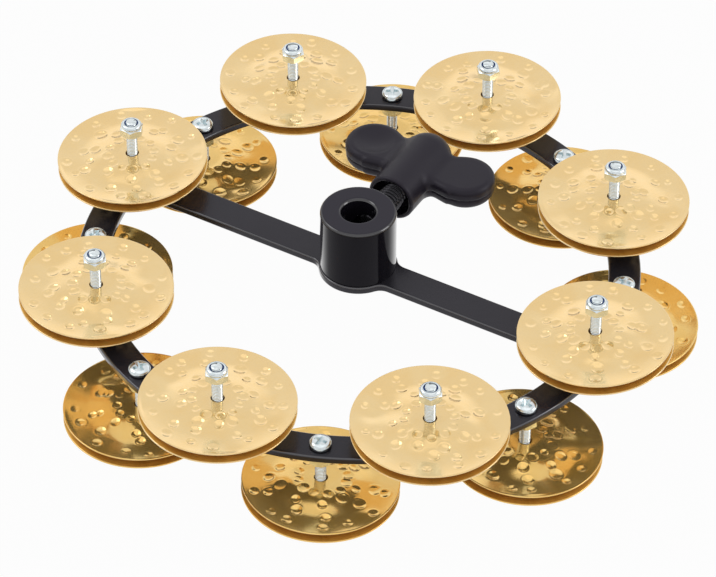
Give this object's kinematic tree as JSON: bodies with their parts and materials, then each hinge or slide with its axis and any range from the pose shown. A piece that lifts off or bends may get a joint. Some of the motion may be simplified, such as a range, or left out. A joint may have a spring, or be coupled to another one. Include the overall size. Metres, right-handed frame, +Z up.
{
  "type": "hi-hat tambourine",
  "caption": "Ring of paired hammered brass jingles on a flat black plate, with a hub and wing screw that clamp it to the pull rod of a hi-hat stand.",
  "frame": {"origin": "on the axis of the rod bore, level with the lowest screw ends that the part stands on", "axes": "+Z up along the rod bore, +X along the crossbar, +Y along the clamp screw towards its wing"},
  "size_m": [0.2512, 0.2512, 0.055],
  "materials": {
    "plate_coat": "satin black powder coat",
    "hub_coat": "gloss black",
    "black_steel": "blackened steel thread",
    "handle_moulding": "matte moulded",
    "zinc_plate": "bright zinc plate",
    "jingle_brass": "hand hammered, polished and lacquered"
  },
  "bodies": {
    "frame": {"frame_plate": "plate_coat", "hub": "hub_coat", "upper_screw_1": "zinc_plate", "upper_lock_nut_1": "zinc_plate", "lower_screw_1": "zinc_plate", "upper_screw_2": "zinc_plate", "upper_lock_nut_2": "zinc_plate", "lower_screw_2": "zinc_plate", "upper_screw_3": "zinc_plate", "upper_lock_nut_3": "zinc_plate", "lower_screw_3": "zinc_plate", "upper_screw_4": "zinc_plate", "upper_lock_nut_4": "zinc_plate", "lower_screw_4": "zinc_plate", "upper_screw_5": "zinc_plate", "upper_lock_nut_5": "zinc_plate", "lower_screw_5": "zinc_plate", "upper_screw_6": "zinc_plate", "upper_lock_nut_6": "zinc_plate", "lower_screw_6": "zinc_plate", "upper_screw_7": "zinc_plate", "upper_lock_nut_7": "zinc_plate", "lower_screw_7": "zinc_plate", "upper_screw_8": "zinc_plate", "upper_lock_nut_8": "zinc_plate", "lower_screw_8": "zinc_plate"},
    "clamp_screw": {"clamp_screw": "black_steel"},
    "wing_handle": {"wing_handle": "handle_moulding"},
    "upper_1_bottom_jingle": {"upper_1_bottom_jingle": "jingle_brass"},
    "upper_1_top_jingle": {"upper_1_top_jingle": "jingle_brass"},
    "lower_1_bottom_jingle": {"lower_1_bottom_jingle": "jingle_brass"},
    "lower_1_top_jingle": {"lower_1_top_jingle": "jingle_brass"},
    "upper_2_bottom_jingle": {"upper_2_bottom_jingle": "jingle_brass"},
    "upper_2_top_jingle": {"upper_2_top_jingle": "jingle_brass"},
    "lower_2_bottom_jingle": {"lower_2_bottom_jingle": "jingle_brass"},
    "lower_2_top_jingle": {"lower_2_top_jingle": "jingle_brass"},
    "upper_3_bottom_jingle": {"upper_3_bottom_jingle": "jingle_brass"},
    "upper_3_top_jingle": {"upper_3_top_jingle": "jingle_brass"},
    "lower_3_bottom_jingle": {"lower_3_bottom_jingle": "jingle_brass"},
    "lower_3_top_jingle": {"lower_3_top_jingle": "jingle_brass"},
    "upper_4_bottom_jingle": {"upper_4_bottom_jingle": "jingle_brass"},
    "upper_4_top_jingle": {"upper_4_top_jingle": "jingle_brass"},
    "lower_4_bottom_jingle": {"lower_4_bottom_jingle": "jingle_brass"},
    "lower_4_top_jingle": {"lower_4_top_jingle": "jingle_brass"},
    "upper_5_bottom_jingle": {"upper_5_bottom_jingle": "jingle_brass"},
    "upper_5_top_jingle": {"upper_5_top_jingle": "jingle_brass"},
    "lower_5_bottom_jingle": {"lower_5_bottom_jingle": "jingle_brass"},
    "lower_5_top_jingle": {"lower_5_top_jingle": "jingle_brass"},
    "upper_6_bottom_jingle": {"upper_6_bottom_jingle": "jingle_brass"},
    "upper_6_top_jingle": {"upper_6_top_jingle": "jingle_brass"},
    "lower_6_bottom_jingle": {"lower_6_bottom_jingle": "jingle_brass"},
    "lower_6_top_jingle": {"lower_6_top_jingle": "jingle_brass"},
    "upper_7_bottom_jingle": {"upper_7_bottom_jingle": "jingle_brass"},
    "upper_7_top_jingle": {"upper_7_top_jingle": "jingle_brass"},
    "lower_7_bottom_jingle": {"lower_7_bottom_jingle": "jingle_brass"},
    "lower_7_top_jingle": {"lower_7_top_jingle": "jingle_brass"},
    "upper_8_bottom_jingle": {"upper_8_bottom_jingle": "jingle_brass"},
    "upper_8_top_jingle": {"upper_8_top_jingle": "jingle_brass"},
    "lower_8_bottom_jingle": {"lower_8_bottom_jingle": "jingle_brass"},
    "lower_8_top_jingle": {"lower_8_top_jingle": "jingle_brass"}
  },
  "joints": [
    {"name": "clamp_travel", "type": "slide", "parent": "frame", "child": "clamp_screw", "axis": [0, 1, 0], "range_m": [-0.0068, 0.003]},
    {"name": "wing_turn", "type": "hinge", "parent": "clamp_screw", "child": "wing_handle", "pos_m": [0, 0.0414, 0.0424], "axis": [0, 1, 0], "range_deg": [-1632, 720]},
    {"name": "upper_1_pair_slide", "type": "slide", "parent": "frame", "child": "upper_1_bottom_jingle", "axis": [0, 0, 1], "range_m": [0, 0.0074]},
    {"name": "upper_1_pair_open", "type": "slide", "parent": "upper_1_bottom_jingle", "child": "upper_1_top_jingle", "axis": [0, 0, 1], "range_m": [0, 0.002]},
    {"name": "lower_1_pair_slide", "type": "slide", "parent": "frame", "child": "lower_1_bottom_jingle", "axis": [0, 0, 1], "range_m": [0, 0.0062]},
    {"name": "lower_1_pair_open", "type": "slide", "parent": "lower_1_bottom_jingle", "child": "lower_1_top_jingle", "axis": [0, 0, 1], "range_m": [0, 0.002]},
    {"name": "upper_2_pair_slide", "type": "slide", "parent": "frame", "child": "upper_2_bottom_jingle", "axis": [0, 0, 1], "range_m": [0, 0.0074]},
    {"name": "upper_2_pair_open", "type": "slide", "parent": "upper_2_bottom_jingle", "child": "upper_2_top_jingle", "axis": [0, 0, 1], "range_m": [0, 0.002]},
    {"name": "lower_2_pair_slide", "type": "slide", "parent": "frame", "child": "lower_2_bottom_jingle", "axis": [0, 0, 1], "range_m": [0, 0.0062]},
    {"name": "lower_2_pair_open", "type": "slide", "parent": "lower_2_bottom_jingle", "child": "lower_2_top_jingle", "axis": [0, 0, 1], "range_m": [0, 0.002]},
    {"name": "upper_3_pair_slide", "type": "slide", "parent": "frame", "child": "upper_3_bottom_jingle", "axis": [0, 0, 1], "range_m": [0, 0.0074]},
    {"name": "upper_3_pair_open", "type": "slide", "parent": "upper_3_bottom_jingle", "child": "upper_3_top_jingle", "axis": [0, 0, 1], "range_m": [0, 0.002]},
    {"name": "lower_3_pair_slide", "type": "slide", "parent": "frame", "child": "lower_3_bottom_jingle", "axis": [0, 0, 1], "range_m": [0, 0.0062]},
    {"name": "lower_3_pair_open", "type": "slide", "parent": "lower_3_bottom_jingle", "child": "lower_3_top_jingle", "axis": [0, 0, 1], "range_m": [0, 0.002]},
    {"name": "upper_4_pair_slide", "type": "slide", "parent": "frame", "child": "upper_4_bottom_jingle", "axis": [0, 0, 1], "range_m": [0, 0.0074]},
    {"name": "upper_4_pair_open", "type": "slide", "parent": "upper_4_bottom_jingle", "child": "upper_4_top_jingle", "axis": [0, 0, 1], "range_m": [0, 0.002]},
    {"name": "lower_4_pair_slide", "type": "slide", "parent": "frame", "child": "lower_4_bottom_jingle", "axis": [0, 0, 1], "range_m": [0, 0.0062]},
    {"name": "lower_4_pair_open", "type": "slide", "parent": "lower_4_bottom_jingle", "child": "lower_4_top_jingle", "axis": [0, 0, 1], "range_m": [0, 0.002]},
    {"name": "upper_5_pair_slide", "type": "slide", "parent": "frame", "child": "upper_5_bottom_jingle", "axis": [0, 0, 1], "range_m": [0, 0.0074]},
    {"name": "upper_5_pair_open", "type": "slide", "parent": "upper_5_bottom_jingle", "child": "upper_5_top_jingle", "axis": [0, 0, 1], "range_m": [0, 0.002]},
    {"name": "lower_5_pair_slide", "type": "slide", "parent": "frame", "child": "lower_5_bottom_jingle", "axis": [0, 0, 1], "range_m": [0, 0.0062]},
    {"name": "lower_5_pair_open", "type": "slide", "parent": "lower_5_bottom_jingle", "child": "lower_5_top_jingle", "axis": [0, 0, 1], "range_m": [0, 0.002]},
    {"name": "upper_6_pair_slide", "type": "slide", "parent": "frame", "child": "upper_6_bottom_jingle", "axis": [0, 0, 1], "range_m": [0, 0.0074]},
    {"name": "upper_6_pair_open", "type": "slide", "parent": "upper_6_bottom_jingle", "child": "upper_6_top_jingle", "axis": [0, 0, 1], "range_m": [0, 0.002]},
    {"name": "lower_6_pair_slide", "type": "slide", "parent": "frame", "child": "lower_6_bottom_jingle", "axis": [0, 0, 1], "range_m": [0, 0.0062]},
    {"name": "lower_6_pair_open", "type": "slide", "parent": "lower_6_bottom_jingle", "child": "lower_6_top_jingle", "axis": [0, 0, 1], "range_m": [0, 0.002]},
    {"name": "upper_7_pair_slide", "type": "slide", "parent": "frame", "child": "upper_7_bottom_jingle", "axis": [0, 0, 1], "range_m": [0, 0.0074]},
    {"name": "upper_7_pair_open", "type": "slide", "parent": "upper_7_bottom_jingle", "child": "upper_7_top_jingle", "axis": [0, 0, 1], "range_m": [0, 0.002]},
    {"name": "lower_7_pair_slide", "type": "slide", "parent": "frame", "child": "lower_7_bottom_jingle", "axis": [0, 0, 1], "range_m": [0, 0.0062]},
    {"name": "lower_7_pair_open", "type": "slide", "parent": "lower_7_bottom_jingle", "child": "lower_7_top_jingle", "axis": [0, 0, 1], "range_m": [0, 0.002]},
    {"name": "upper_8_pair_slide", "type": "slide", "parent": "frame", "child": "upper_8_bottom_jingle", "axis": [0, 0, 1], "range_m": [0, 0.0074]},
    {"name": "upper_8_pair_open", "type": "slide", "parent": "upper_8_bottom_jingle", "child": "upper_8_top_jingle", "axis": [0, 0, 1], "range_m": [0, 0.002]},
    {"name": "lower_8_pair_slide", "type": "slide", "parent": "frame", "child": "lower_8_bottom_jingle", "axis": [0, 0, 1], "range_m": [0, 0.0062]},
    {"name": "lower_8_pair_open", "type": "slide", "parent": "lower_8_bottom_jingle", "child": "lower_8_top_jingle", "axis": [0, 0, 1], "range_m": [0, 0.002]}
  ],
  "couplings": [
    {"joint": "clamp_travel", "follows": "wing_turn", "m_per_rad": 0.00023873}
  ]
}
